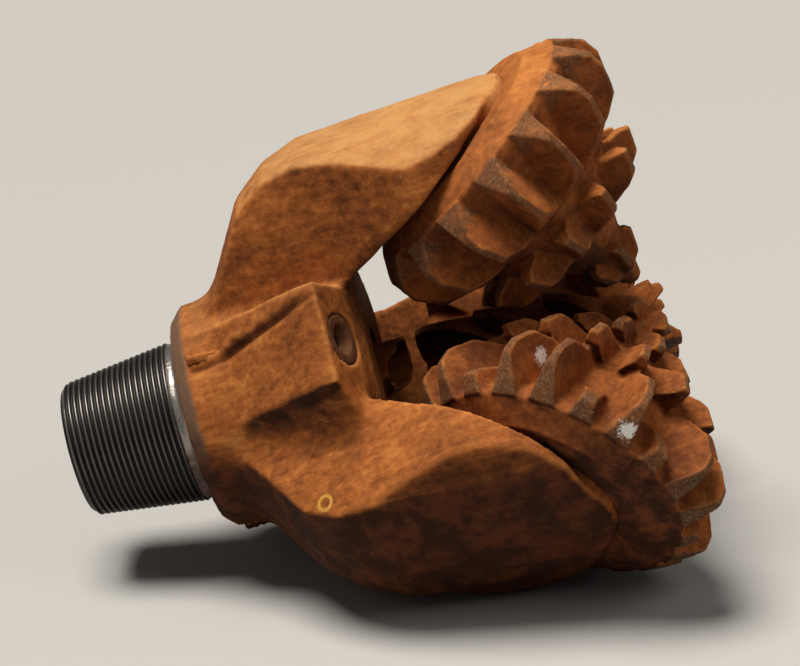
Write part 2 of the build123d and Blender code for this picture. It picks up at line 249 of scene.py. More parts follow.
class Finish:
    """One procedural material and the sockets of its shader."""

    def __init__(self, name: str) -> None:
        """Makes the material with a bare principled shader."""
        self.material = bpy.data.materials.new(name)
        self.material.use_nodes = True
        self.tree = self.material.node_tree
        self.shader = next(n for n in self.tree.nodes if n.type == "BSDF_PRINCIPLED")

    def node(self, kind: str, settings: dict, inputs: dict, output: Any = 0) -> Field:
        """A node with its settings made first and then its inputs.

        Args:
            kind: Blender's node type.
            settings: Attributes of the node.
            inputs: Socket name or number to a number, colour or Field.
            output: Name or number of the socket that is returned.

        Returns:
            The output socket as a Field.
        """
        made = self.tree.nodes.new(kind)
        for key, value in settings.items():
            setattr(made, key, value)
        for key, value in inputs.items():
            self.feed(made.inputs[key], value)
        return Field(self, made.outputs[output])

    def feed(self, socket: Any, value: Any) -> None:
        """Links a Field to a socket, or sets the socket to a plain value."""
        if isinstance(value, Field):
            self.tree.links.new(value.socket, socket)
        else:
            socket.default_value = value

    def attribute(self, name: str, output: str = "Fac") -> Field:
        """A number or vector stored on the mesh."""
        return self.node("ShaderNodeAttribute", {"attribute_name": name}, {}, output)

    def noise(self, vector: Field, scale: float, detail: float = 4.0, rough: float = 0.55) -> Field:
        """Noise texture value on given coordinates."""
        inputs = {"Vector": vector, "Scale": scale, "Detail": detail, "Roughness": rough}
        return self.node("ShaderNodeTexNoise", {}, inputs, 0)

    def stretched(self, vector: Field, scale: Sequence[float]) -> Field:
        """Coordinates stretched by a vector of factors."""
        settings = {"operation": "MULTIPLY"}
        return self.node("ShaderNodeVectorMath", settings, {0: vector, 1: tuple(scale)})

    def distance(self, vector: Field, point: Sequence[float]) -> Field:
        """Distance of coordinates from a point."""
        settings = {"operation": "DISTANCE"}
        return self.node("ShaderNodeVectorMath", settings, {0: vector, 1: tuple(point)}, "Value")

    def mix(self, factor: Any, first: Any, second: Any) -> Field:
        """Colour mixed from first to second, through the Mix node's colour sockets 6, 7 and 2."""
        inputs = {0: factor, 6: first, 7: second}
        return self.node("ShaderNodeMix", {"data_type": "RGBA"}, inputs, 2)

    def dress(self, **values: Any) -> None:
        """Sets the principled shader's sockets, by names with underscores for spaces."""
        for key, value in values.items():
            self.feed(self.shader.inputs[key.replace("_", " ")], value)

    def bump(self, height: Field, strength: float, distance: float) -> None:
        """Fine relief on the shader's normal."""
        inputs = {"Height": height, "Strength": strength, "Distance": distance}
        self.dress(Normal=self.node("ShaderNodeBump", {}, inputs, "Normal"))


@dataclass(frozen=True)
class Rust:
    """Rusty steel: orange bloom on a brown skin, dark hollows and streaks along the bit, and
    painted shade on undersides.

    Attributes:
        name: The material's name.
        bloom: Fresh orange rust, also on worn edges.
        pale: Paler colour on what faces up high on the bit.
        skin: Most of the surface.
        dark: Hollows, specks and patches.
        shade_colour: Painted shade on undersides.
        grey: Bevel of the shoulder and chalky patches.
        steel: Bare metal.
        paint: Ring on the front leg.
        streak: Strength of the streaks along the bit.
        worn: Strength of the bloom on edges.
        paling: Strength of that paler colour.
        warmth: Shift of the whole surface towards bloom.
    """

    name: str = "rusty_forging"
    bloom: Colour = srgb(212, 140, 72)
    pale: Colour = srgb(206, 158, 100)
    skin: Colour = srgb(168, 96, 44)
    dark: Colour = srgb(86, 44, 22)
    shade_colour: Colour = srgb(50, 25, 13)
    grey: Colour = srgb(112, 86, 68)
    steel: Colour = srgb(158, 152, 144)
    paint: Colour = srgb(206, 158, 70)
    streak: float = 1.0
    worn: float = 0.45
    paling: float = 0.75
    warmth: float = 0.0

    def make(self) -> bpy.types.Material:
        """The finish as a material."""
        finish = Finish(self.name)
        place = finish.attribute("bit", "Vector")
        broad = finish.noise(place, 8.0, 5.0, 0.6)
        long = finish.noise(finish.stretched(place, (9.0, 110.0, 110.0)), 1.0, 6.0, 0.65)
        fine = finish.noise(place, 150.0, 6.0, 0.7)
        speck = finish.noise(place, 700.0, 3.0, 0.6)
        edge = finish.attribute("edge")
        hollow = finish.attribute("hollow")
        high_upward = finish.attribute("high_upward")
        under = finish.attribute("under")
        patch = finish.noise(place, 30.0, 6.0, 0.68)
        warm = broad * 0.5 + long * 0.5 * self.streak + fine * 0.35 + patch * 0.35
        # What faces up high on the bit is shifted towards bloom.
        warm = warm + high_upward * 0.12 + self.warmth
        colour = finish.mix(warm.band(0.62, 0.98), self.dark, self.skin)
        colour = finish.mix(warm.band(0.86, 1.14) * 0.85, colour, self.bloom)
        colour = finish.mix((high_upward * (patch * 1.6 - 0.1)).clip() * self.paling, colour, self.pale)
        colour = finish.mix(patch.band(0.62, 0.76) * 0.5, colour, self.dark)
        colour = finish.mix((edge * self.worn - fine * 0.3).clip(), colour, self.bloom)
        colour = finish.mix((hollow * 0.7).clip(), colour, self.dark)
        colour = finish.mix(speck.band(0.66, 0.74) * 0.4, colour, self.dark)
        bevel = finish.attribute("bevel")
        colour = finish.mix((bevel * (1.25 - fine * 0.6)).clip(), colour, self.grey)
        # Painted shade: downward-facing surfaces low on the bit are darkened, broken up by the
        # streaks.
        shade_mix = (under * 1.25 - long.band(0.5, 0.78) * 0.28).clip()
        colour = finish.mix(shade_mix, colour, finish.mix(patch.band(0.4, 0.65), self.shade_colour, self.dark))
        chalk = finish.noise(place, 22.0, 7.0, 0.7).band(0.63, 0.74)
        colour = finish.mix(chalk * 0.3, colour, self.grey)
        colour = self.marks(finish, colour, place, fine)
        # Painted shade: the bare steel is darkened on undersides.
        bright = (finish.attribute("bright") * 1.25 - fine * 0.55 - under * 0.75).clip()
        colour = finish.mix(bright, colour, self.steel)
        rough = 0.9 - fine * 0.2 - bright * 0.5
        finish.dress(
            Base_Color=colour, Roughness=rough, Metallic=bright * 0.85, Specular_IOR_Level=0.12
        )
        finish.bump(fine * 0.6 + speck * 0.25 + long * 0.35, 0.4, 0.0014)
        return finish.material

    def marks(self, finish: Finish, colour: Field, place: Field, fine: Field) -> Field:
        """Ochre paint ring on one leg, and nothing where its distance isn't stored.

        Args:
            finish: The material that is made.
            colour: Its colour so far.
            place: Coordinates in the bit's frame; not used here.
            fine: Fine noise.

        Returns:
            The colour with the marks on it.
        """
        reach = finish.attribute("ring")
        ring = reach.band(0.0052, 0.0066) - reach.band(0.0086, 0.0104)
        return finish.mix((ring * (1.5 - fine)).clip() * 0.75, colour, self.paint)


@dataclass(frozen=True)
class Toothed(Rust):
    """Rust with grey-brown hard facing on the teeth and two white smears.

    Attributes:
        facing: Grains of the hard facing.
        pits: Darker hollows between the grains.
        white: The smears.
        smears: Middle of each smear in the bit's frame and its reach, in metres.
    """

    name: str = "rusty_cone"
    bloom: Colour = srgb(226, 146, 70)
    skin: Colour = srgb(186, 106, 48)
    dark: Colour = srgb(102, 54, 28)
    facing: Colour = srgb(130, 98, 72)
    pits: Colour = srgb(84, 58, 40)
    white: Colour = srgb(232, 228, 222)
    smears: tuple[tuple[float, ...], ...] = (
        (0.5084, -0.1985, 0.0365, 0.013),
        (0.5727, -0.2831, -0.0308, 0.0135),
    )
    streak: float = 0.35
    worn: float = 0.55
    paling: float = 0.15
    warmth: float = 0.07

    def marks(self, finish: Finish, colour: Field, place: Field, fine: Field) -> Field:
        """Hard facing grains and smears over the rust."""
        grain = finish.noise(place, 330.0, 5.0, 0.75)
        cover = finish.noise(place, 48.0, 5.0, 0.65)
        faced = (finish.attribute("faced") * 1.6 + cover * 1.8 - 1.75).clip()
        grains = finish.mix(grain.band(0.44, 0.62), self.pits, self.facing)
        colour = finish.mix(faced * 0.85, colour, grains)
        for *spot, reach in self.smears:
            near = finish.distance(place, spot) * (1.0 / reach)
            smear = (1.15 - near + (grain - 0.5) * 2.8).band(0.4, 0.6) * (1.3 - near).clip()
            colour = finish.mix((smear * 1.2).clip() * 0.92, colour, self.white)
        return colour


@dataclass(frozen=True)
class GreasedThread:
    """Dark greased steel with bright worn crests and painted shade on its underside."""

    name: str = "greased_thread"
    crest: Colour = srgb(112, 106, 98)
    valley: Colour = srgb(14, 12, 10)

    def make(self) -> bpy.types.Material:
        """The finish as a material."""
        finish = Finish(self.name)
        place = finish.attribute("bit", "Vector")
        height = finish.attribute("crest")
        smear = finish.noise(place, 30.0, 4.0, 0.6)
        worn = (height + smear * 0.5 - 0.25).band(0.55, 1.0)
        # Painted shade: the worn crests are darkened on the thread's underside.
        worn = worn * (1.0 - finish.attribute("under") * 0.75)
        colour = finish.mix(worn, self.valley, self.crest)
        finish.dress(
            Base_Color=colour,
            Metallic=worn * 0.55 + 0.35,
            Roughness=0.42 - worn * 0.12 + smear * 0.15,
        )
        return finish.material


@dataclass(frozen=True)
class Plain:
    """Matt finish of one colour."""

    name: str
    colour: Colour

    def make(self) -> bpy.types.Material:
        """The finish as a material."""
        finish = Finish(self.name)
        finish.dress(Base_Color=self.colour, Roughness=0.9)
        return finish.material


# Meshes


def put_attribute(mesh: bpy.types.Mesh, name: str, values: Array) -> None:
    """Stores a number or a vector for each vertex."""
    kind = "FLOAT" if values.ndim == 1 else "FLOAT_VECTOR"
    slot = "value" if values.ndim == 1 else "vector"
    layer = mesh.attributes.new(name, kind, "POINT")
    layer.data.foreach_set(slot, values.astype(np.float32).ravel())


def vertices_of(mesh: bpy.types.Mesh) -> Array:
    """Vertex places as rows."""
    values = np.empty(len(mesh.vertices) * 3, dtype=np.float64)
    mesh.vertices.foreach_get("co", values)
    return values.reshape(-1, 3)


def normals_of(mesh: bpy.types.Mesh) -> Array:
    """Vertex normals as rows."""
    values = np.empty(len(mesh.vertices) * 3, dtype=np.float64)
    mesh.vertices.foreach_get("normal", values)
    return values.reshape(-1, 3)


def edges_of(mesh: bpy.types.Mesh) -> Array:
    """Vertex pairs as rows."""
    values = np.empty(len(mesh.edges) * 2, dtype=np.int64)
    mesh.edges.foreach_get("vertices", values)
    return values.reshape(-1, 2)


def averaged(values: Array, edges: Array, count: int) -> Array:
    """Mean of each vertex's neighbours."""
    ends = np.concatenate((edges[:, 0], edges[:, 1]))
    others = np.concatenate((edges[:, 1], edges[:, 0]))
    number = np.maximum(np.bincount(ends, minlength=count), 1)
    if values.ndim == 1:
        return np.bincount(ends, values[others], count) / number
    parts = [np.bincount(ends, values[others, i], count) / number for i in range(values.shape[1])]
    return np.column_stack(parts)


def bend(mesh: bpy.types.Mesh, rounds: int = 4) -> Array:
    """How much each vertex stands out of its surroundings, in metres, smoothed."""
    places, edges = vertices_of(mesh), edges_of(mesh)
    count = len(places)
    inner = places
    for _ in range(rounds):
        inner = averaged(inner, edges, count)
    outward = np.einsum("ij,ij->i", places - inner, normals_of(mesh))
    return averaged(outward, edges, count)


def put_places(mesh: bpy.types.Mesh, places: Array) -> None:
    """Moves the vertices."""
    mesh.vertices.foreach_set("co", places.ravel())
    mesh.update()


def evened(piece: bpy.types.Object, voxel: float, smooth: int, kept: float = 1.0) -> None:
    """Makes a piece's mesh anew from even cells, and softens it.

    Args:
        piece: The piece to work on.
        voxel: Size of the new mesh's cells, in metres.
        smooth: Rounds of smoothing.
        kept: Share of the faces that is kept where the surface is flat.
    """
    maker = piece.modifiers.new("even", "REMESH")
    maker.mode = "VOXEL"
    maker.voxel_size = voxel
    if smooth:
        soften = piece.modifiers.new("soften", "SMOOTH")
        soften.factor = 0.5
        soften.iterations = smooth
    if kept < 1.0:
        thin = piece.modifiers.new("thin", "DECIMATE")
        thin.ratio = kept
    graph = bpy.context.evaluated_depsgraph_get()
    final = bpy.data.meshes.new_from_object(piece.evaluated_get(graph))
    piece.modifiers.clear()
    piece.data = final
    final.name = piece.name


def joined(nodes: Sequence[str], name: str) -> bpy.types.Object:
    """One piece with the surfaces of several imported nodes."""
    places, faces, start = [], [], 0
    for node in nodes:
        mesh = FRAME["nodes"][node].data
        places.append(vertices_of(mesh))
        faces += [tuple(start + i for i in face.vertices) for face in mesh.polygons]
        start += len(mesh.vertices)
    mesh = bpy.data.meshes.new(name)
    mesh.from_pydata(np.concatenate(places).tolist(), [], faces)
    mesh.update()
    piece = bpy.data.objects.new(name, mesh)
    bpy.context.scene.collection.objects.link(piece)
    return piece


def remade(
    node: str, name: str, voxel: float, smooth: int, kept: float = 1.0
) -> bpy.types.Object:
    """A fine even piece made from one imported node, with softened edges."""
    piece = joined([node], name)
    evened(piece, voxel, smooth, kept)
    return piece


# Sizes of the wide and narrow relief, and the bend of a full edge or hollow, in metres
WIDE, NARROW = 0.055, 0.009
EDGE_BEND, HOLLOW_BEND = 0.0008, 0.0012


def weathered(
    mesh: bpy.types.Mesh, coarse: float, fine: float, seed: int, rounds: int = 3
) -> dict[str, Array]:
    """Relief in the mesh, and the marks that every rust finish reads.

    Args:
        mesh: The mesh to work on.
        coarse: Depth of the wide relief, in metres.
        fine: Depth of the narrow relief, in metres.
        seed: Start of the noise.
        rounds: How far about each vertex its bend is measured, in cells.

    Returns:
        Values for each vertex, by attribute name.
    """
    places = vertices_of(mesh)
    normals = normals_of(mesh)
    bit = LAY.to_bit(places)
    push = coarse * relief(bit, WIDE, 3, seed) + fine * relief(bit, NARROW, 2, seed + 9)
    places = places + normals * push[:, None]
    put_places(mesh, places)
    out = bend(mesh, rounds)
    normals = normals_of(mesh)
    # Painted shade mask: surfaces that face down, less so high on the bit.
    under = step(-normals[:, 2], -0.15, 0.42) * (1.0 - 0.6 * step(places[:, 2], 0.22, 0.45))
    return {
        "edge": np.clip(out / EDGE_BEND - 0.15, 0.0, 1.0),
        "hollow": np.clip(-out / HOLLOW_BEND, 0.0, 1.0),
        "under": under,
        "high_upward": step(normals[:, 2], 0.35, 0.95) * step(places[:, 2], 0.2, 0.5),
        "bit": bit,
    }


def hand_over(
    piece: bpy.types.Object,
    marks: dict[str, Array],
    finish: bpy.types.Material,
    homes: tuple[str, str, str],
) -> None:
    """Stores the marks, dresses the piece and says which node it stands for.

    Args:
        piece: The finished piece.
        marks: Values for each vertex, by attribute name.
        finish: Its material.
        homes: The body it rides, the node it replaces, and the record's material slot, which is not
            used.
    """
    for name, values in marks.items():
        put_attribute(piece.data, name, values)
    piece.data.shade_smooth()
    piece.data.materials.append(finish)
    body, node, slot = homes
    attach(piece, body)
    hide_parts(node)
    LOG.info("%s: %d vertices", piece.name, len(piece.data.vertices))


@dataclass
class Legs:
    """The welded leg forgings with their bosses and journals, worked as one and then parted.

    Lengths are in metres. A pair of them is where something begins and is complete.

    Attributes:
        voxel: Cell size of the even mesh.
        smooth: Rounds of smoothing.
        fills: Rounds of rounding for the inner corners.
        edge_share: How much an outer edge is rounded for one of an inner corner.
        sector_start: Angle of the first plane between two forgings.
        pin_length: Station of the shoulder.
        thread_room: Depth that the pin is drawn in by under the thread.
        relief_start: Station where the thread ends.
        bevel_end: Station where the shoulder's bevel ends.
        boss_side: Half the width of the reach in which a boss is cut.
        boss_inner: Nearest that cut comes to the bit's axis.
        boss_end: Furthest station that is still the boss.
        shoulder: Stations over which the rounding sets in behind the shoulder.
        bore: Radii over which it sets in outside the water bore.
        journal: Distances along a cone's axis over which it stops for the journal.
        journal_edge: Radii from that axis over which it sets in again.
        socket: Distances from a nozzle's middle line over which it sets in.
        socket_end: Stations over which it stops for the nozzle's socket.
        wall: Radii over which the marks of the shoulder set in.
        seam: Distance of the worn groove from the plane between two forgings, and its wander.
        groove: Width and depth of the groove.
        bead: Distance of the bead from the groove, and its width.
        bead_rise: Height of the bead, and the part of it that comes and goes.
        ring: Middle of the paint ring.
        valley: Station, side and reach of each corner of a fill.
    """

    voxel: float = 0.0032
    smooth: int = 1
    fills: int = 30
    edge_share: float = 0.04
    sector_start: float = math.radians(12.0)
    pin_length: float = 0.13335
    thread_room: float = 0.0052
    relief_start: float = 0.1203
    bevel_end: float = 0.149
    boss_side: float = 0.082
    boss_inner: float = 0.132
    boss_end: float = 0.3335
    shoulder: Span = (0.150, 0.172)
    bore: Span = (0.062, 0.078)
    journal: Span = (0.150, 0.170)
    journal_edge: Span = (0.120, 0.150)
    socket: Span = (0.030, 0.040)
    socket_end: Span = (0.27, 0.28)
    wall: Span = (0.055, 0.065)
    seam: Span = (0.014, 0.005)
    groove: Span = (0.0036, 0.0045)
    bead: Span = (0.011, 0.006)
    bead_rise: Span = (0.002, 0.0016)
    ring: Triple = (0.2619, -0.2213, -0.0469)
    valley: tuple[Triple, ...] = (
        (0.172, 0.036, 0.098),
        (0.205, 0.038, 0.133),
        (0.288, 0.038, 0.193),
        (0.306, 0.038, 0.200),
        (0.324, 0.038, 0.198),
        (0.190, 0.098, 0.074),
        (0.218, 0.104, 0.100),
        (0.288, 0.106, 0.146),
        (0.328, 0.102, 0.152),
        (0.172, 0.036, 0.060),
        (0.324, 0.036, 0.060),
        (0.328, 0.102, 0.060),
        (0.190, 0.098, 0.060),
    )

    def build(self, finish: bpy.types.Material) -> None:
        """Makes and dresses the forgings."""
        nodes = [f"leg_{name}" for name in TURNS]
        whole = joined(nodes, "forgings")
        self.fillets(whole.data)
        evened(whole, self.voxel, 0)
        self.bevel_bosses(whole.data)
        evened(whole, self.voxel, self.smooth)
        self.fill_corners(whole.data)
        self.draw_in_pin(whole.data)
        self.seams(whole.data)
        marks = weathered(whole.data, 0.0006, 0.00025, 3)
        marks.update(self.marks(marks["bit"]))
        places, normals = vertices_of(whole.data), normals_of(whole.data)
        corners = np.array([tuple(face.vertices) for face in whole.data.polygons])
        middle = marks["bit"][corners].mean(axis=1)
        angle = (np.arctan2(middle[:, 2], middle[:, 1]) - self.sector_start) % (2.0 * math.pi)
        for number, name in enumerate(TURNS):
            chosen = corners[(angle // math.radians(120.0)).astype(int) == number]
            used, faces = np.unique(chosen, return_inverse=True)
            mesh = bpy.data.meshes.new(f"forging_{name}")
            mesh.from_pydata(places[used].tolist(), [], faces.reshape(chosen.shape).tolist())
            mesh.update()
            piece = bpy.data.objects.new(mesh.name, mesh)
            bpy.context.scene.collection.objects.link(piece)
            part = {key: values[used] for key, values in marks.items()}
            hand_over(piece, part, finish, ("bit_body", f"leg_{name}", "forged_steel"))
            mesh.normals_split_custom_set_from_vertices(normals[used].tolist())
        bpy.data.objects.remove(whole)

    def fillets(self, mesh: bpy.types.Mesh) -> None:
        """Fills the valley between each boss and the leg beside it."""
        shape = bmesh.new()
        shape.from_mesh(mesh)
        for turn in TURNS.values():
            middle = turn - math.radians(60.0)
            out = np.array((0.0, math.cos(middle), math.sin(middle)))
            side = np.array((0.0, -math.sin(middle), math.cos(middle)))
            points = [
                np.array((station, 0.0, 0.0)) + side * across + out * reach
                for station, across, reach in self.valley
            ]
            corners = [shape.verts.new(point) for point in LAY.to_row(np.array(points))]
            made = bmesh.ops.convex_hull(shape, input=corners)
            idle = [item for item in made["geom_interior"] if isinstance(item, bmesh.types.BMVert)]
            bmesh.ops.delete(shape, geom=idle, context="VERTS")
        shape.to_mesh(mesh)
        shape.free()

    def bevel_bosses(self, mesh: bpy.types.Mesh) -> None:
        """Slants the end faces of the nozzle bosses outward."""
        bit = LAY.to_bit(vertices_of(mesh))
        for turn in NOZZLE.turns():
            reach, side = turned(bit, turn)
            limit = NOZZLE.face(reach)
            over = (np.abs(side) < self.boss_side) & (reach > self.boss_inner)
            over = over & (bit[:, 0] > limit) & (bit[:, 0] < self.boss_end)
            bit[over, 0] = limit[over]
        put_places(mesh, LAY.to_row(bit))

    def fill_corners(self, mesh: bpy.types.Mesh) -> None:
        """Rounds inner corners broadly and outer edges a little, as a forging has them."""
        places, edges = vertices_of(mesh), edges_of(mesh)
        bit = LAY.to_bit(places)
        from_axis = np.hypot(bit[:, 1], bit[:, 2])
        free = step(bit[:, 0], *self.shoulder) * step(from_axis, *self.bore)
        for name in TURNS:
            along, radius, _ = about_cone(bit, name)
            inside = 1.0 - step(radius, *self.journal_edge)
            free = free * (1.0 - step(along, *self.journal) * inside)
        for turn in NOZZLE.turns():
            inside = 1.0 - step(NOZZLE.off_axis(bit, turn), *self.socket)
            free = free * (1.0 - inside * step(bit[:, 0], *self.socket_end))
        for _ in range(self.fills):
            move = averaged(places, edges, len(places)) - places
            outward = np.einsum("ij,ij->i", move, normals_of(mesh))
            share = np.where(outward > 0.0, 1.0, self.edge_share) * free
            places = places + move * share[:, None]
            put_places(mesh, places)

    def draw_in_pin(self, mesh: bpy.types.Mesh) -> None:
        """Makes room for the thread round the pin."""
        bit = LAY.to_bit(vertices_of(mesh))
        radius = np.hypot(bit[:, 1], bit[:, 2])
        past = step(bit[:, 0], self.relief_start - 0.002, self.relief_start + 0.002)
        room = self.thread_room * (1.0 - past)
        drawn = (radius - room) / np.maximum(radius, TINY)
        scale = np.where(radius > self.wall[0], drawn, 1.0)
        bit[:, 1] *= scale
        bit[:, 2] *= scale
        put_places(mesh, LAY.to_row(bit))

    def seams(self, mesh: bpy.types.Mesh) -> None:
        """A worn groove with a rough bead beside it where two forgings are welded."""
        places, normals = vertices_of(mesh), normals_of(mesh)
        bit = LAY.to_bit(places)
        radius = np.hypot(bit[:, 1], bit[:, 2])
        angle = np.arctan2(bit[:, 2], bit[:, 1]) - self.sector_start
        off = (np.sin(1.5 * angle) / 1.5) * np.where(np.cos(1.5 * angle) < 0.0, -1.0, 1.0) * radius
        shift, wander = self.seam
        off = off - shift - wander * noise(bit, 0.05, 61)
        here = step(bit[:, 0], 0.150, 0.156) * (1.0 - step(bit[:, 0], 0.25, 0.32))
        here = here * step(radius, 0.10, 0.11)
        width, depth = self.groove
        groove = np.exp(-((off / width) ** 2)) * depth
        shift, width = self.bead
        height, change = self.bead_rise
        rise = height + change * relief(bit, 0.011, 2, 64)
        bead = np.exp(-(((off + shift) / width) ** 2)) * rise
        put_places(mesh, places + normals * ((bead - groove) * here)[:, None])

    def marks(self, bit: Array) -> dict[str, Array]:
        """Bright groove and grey bevel beside the thread, and the paint ring's distance."""
        radius = np.hypot(bit[:, 1], bit[:, 2])
        outside = step(radius, *self.wall)
        bright = outside * (1.0 - step(bit[:, 0], self.pin_length - 0.001, self.pin_length + 0.002))
        bevel = outside * step(bit[:, 0], self.pin_length, self.pin_length + 0.002)
        bevel = bevel * (1.0 - step(bit[:, 0], self.bevel_end - 0.003, self.bevel_end + 0.003))
        reach = np.linalg.norm(bit - np.array(self.ring), axis=1)
        return {"bright": bright, "bevel": bevel, "ring": reach}


@dataclass(frozen=True)
class Nozzles:
    """The three nozzles in the bosses, set square to the slanted boss ends.

    Attributes:
        radius: Distance of their middle lines from the bit's axis, in metres.
        slant: Lean of the boss ends.
        station: Station of a slanted end on the nozzle's middle line, in metres.
        solid_station: Station of the square end that the solids have, in metres.
        sunk: Depth of a nozzle below the slanted end, in metres.
        voxel: Cell size of the even mesh, in metres.
    """

    radius: float = 0.168
    slant: float = math.radians(22.0)
    station: float = 0.3205
    solid_station: float = 0.325
    sunk: float = 0.0015
    voxel: float = 0.0018

    def turns(self) -> list[float]:
        """Angles of the nozzles round the bit."""
        return [turn - math.radians(62.0) for turn in TURNS.values()]

    def face(self, reach: Array) -> Array:
        """Station of the slanted boss end at a distance from the bit's axis."""
        return self.station - (reach - self.radius) * math.tan(self.slant)

    def off_axis(self, bit: Array, turn: float) -> Array:
        """Distance of points from a nozzle's middle line."""
        side = bit[:, 1] - self.radius * math.cos(turn)
        rise = bit[:, 2] - self.radius * math.sin(turn)
        return np.hypot(side, rise)

    def build(self, finish: bpy.types.Material) -> None:
        """Turns the nozzles to the slant and dresses them."""
        for name, turn in zip(TURNS, self.turns()):
            piece = joined([f"nozzle_{name}"], f"turned_nozzle_{name}")
            evened(piece, self.voxel, 1)
            bit = LAY.to_bit(vertices_of(piece.data))
            along = bit[:, 0] - self.solid_station
            out, side = turned(bit, turn)
            out = out - self.radius
            cos, sin = math.cos(self.slant), math.sin(self.slant)
            station = self.station - self.sunk + along * cos - out * sin
            reach = self.radius + along * sin + out * cos
            cos, sin = math.cos(turn), math.sin(turn)
            across, rise = reach * cos - side * sin, reach * sin + side * cos
            put_places(piece.data, LAY.to_row(np.column_stack((station, across, rise))))
            marks = weathered(piece.data, 0.0002, 0.0002, 12)
            hand_over(piece, marks, finish, ("bit_body", f"nozzle_{name}", "nozzle_steel"))


NOZZLE = Nozzles()


@dataclass
class Cones:
    """The rolling cones with their milled teeth.

    Lengths are in metres. A pair of them is where something begins and is complete.

    Attributes:
        voxel: Cell size of the even mesh.
        smooth: Rounds of smoothing.
        kept: Share of the faces that is kept.
        crest_rise: Heights over the core for hard facing on the crests.
        crest_facing: How squarely a crest looks away from the cone's axis.
        heel_start: Distances along the axis where the heel facets begin.
        heel_end: Distances along the axis where they end.
        heel_rise: Heights over the core for hard facing on the heel facets.
        heel_facing: How squarely a heel facet looks away from the axis.
        core: Distance along the axis and radius of the body between the teeth.
    """

    voxel: float = 0.0021
    smooth: int = 1
    kept: float = 0.62
    crest_rise: Span = (0.007, 0.012)
    crest_facing: Span = (0.62, 0.75)
    heel_start: Span = (0.232, 0.236)
    heel_end: Span = (0.261, 0.265)
    heel_rise: Span = (0.001, 0.0025)
    heel_facing: Span = (0.3, 0.45)
    core: tuple[Span, ...] = (
        (0.032, 0.009),
        (0.048, 0.017),
        (0.076, 0.028),
        (0.1, 0.046),
        (0.124, 0.071),
        (0.152, 0.09),
        (0.176, 0.102),
        (0.204, 0.112),
        (0.232, 0.126),
        (0.25, 0.138),
        (0.26, 0.139),
        (0.275, 0.115),
    )

    def build(self, finish: bpy.types.Material) -> None:
        """Makes and dresses the cones."""
        for seed, name in enumerate(TURNS):
            node = f"cone_{name}"
            piece = remade(node, f"milled_{name}", self.voxel, self.smooth, self.kept)
            marks = weathered(piece.data, 0.0007, 0.0004, 200 + seed * 17)
            marks.update(self.marks(piece.data, marks["bit"], name))
            hand_over(piece, marks, finish, (node, node, "cone_steel"))

    def marks(self, mesh: bpy.types.Mesh, bit: Array, name: str) -> dict[str, Array]:
        """Where the hard facing lies."""
        along, radius, away = about_cone(bit, name)
        table = np.array(self.core)
        rise = radius - np.interp(along, table[:, 0], table[:, 1])
        places, normals = vertices_of(mesh), normals_of(mesh)
        outward = LAY.to_bit(places + normals) - LAY.to_bit(places)
        facing = np.einsum("ij,ij->i", outward, away / np.maximum(radius, TINY)[:, None])
        crest = step(rise, *self.crest_rise) * step(facing, *self.crest_facing)
        heel = step(along, *self.heel_start) * (1.0 - step(along, *self.heel_end))
        heel = heel * step(rise, *self.heel_rise) * step(facing, *self.heel_facing)
        return {"faced": np.maximum(crest, heel)}


@dataclass
class Beads:
    """The weld beads between the forgings, and the rusted jet in the middle.

    Attributes:
        voxel: Cell size of the beads' mesh, in metres.
        smooth: Rounds of smoothing for the beads.
        ripple: Length of one ripple along a bead, in metres.
        ripple_rise: Height of the ripples, in metres.
        lump_rise: Height of the wider lumps, in metres.
        torn_from: Station past which the jet's rim is torn down, in metres.
        jet_radius: Radius of the rim, in metres.
        jet_voxel: Cell size of the jet's mesh, in metres.
    """

    voxel: float = 0.0016
    smooth: int = 8
    ripple: float = 0.0085
    ripple_rise: float = 0.0006
    lump_rise: float = 0.0012
    torn_from: float = 0.341
    jet_radius: float = 0.028
    jet_voxel: float = 0.0022

    def build(self, bead_finish: bpy.types.Material, jet_finish: bpy.types.Material) -> None:
        """Makes and dresses the beads and the jet."""
        for seed, name in enumerate(TURNS):
            piece = remade(f"seam_{name}", f"bead_{name}", self.voxel, self.smooth)
            places, normals = vertices_of(piece.data), normals_of(piece.data)
            bit = LAY.to_bit(places)
            wave = np.sin(bit[:, 0] * 2.0 * math.pi / self.ripple + 2.0 * noise(bit, 0.02, seed))
            lumps = relief(bit, 0.016, 2, 70 + seed)
            lift = self.ripple_rise * wave + self.lump_rise * lumps
            put_places(piece.data, places + normals * lift[:, None])
            marks = weathered(piece.data, 0.0003, 0.0003, 5)
            hand_over(piece, marks, bead_finish, ("bit_body", f"seam_{name}", "weld"))
        jet = remade("centre_jet", "old_jet", self.jet_voxel, 1)
        bit = LAY.to_bit(vertices_of(jet.data))
        far = step(bit[:, 1] + 0.4 * bit[:, 2], -self.jet_radius, self.jet_radius)
        jagged = relief(bit * (0.0, 1.0, 1.0), 0.012, 2, 90)
        keep = np.clip(0.15 + 0.9 * far + 0.16 * jagged, 0.1, 1.0)
        past = np.maximum(bit[:, 0] - self.torn_from, 0.0)
        bit[:, 0] -= past * (1.0 - keep)
        put_places(jet.data, LAY.to_row(bit))
        marks = weathered(jet.data, 0.0004, 0.0004, 7)
        hand_over(jet, marks, jet_finish, ("bit_body", "centre_jet", "nozzle_steel"))


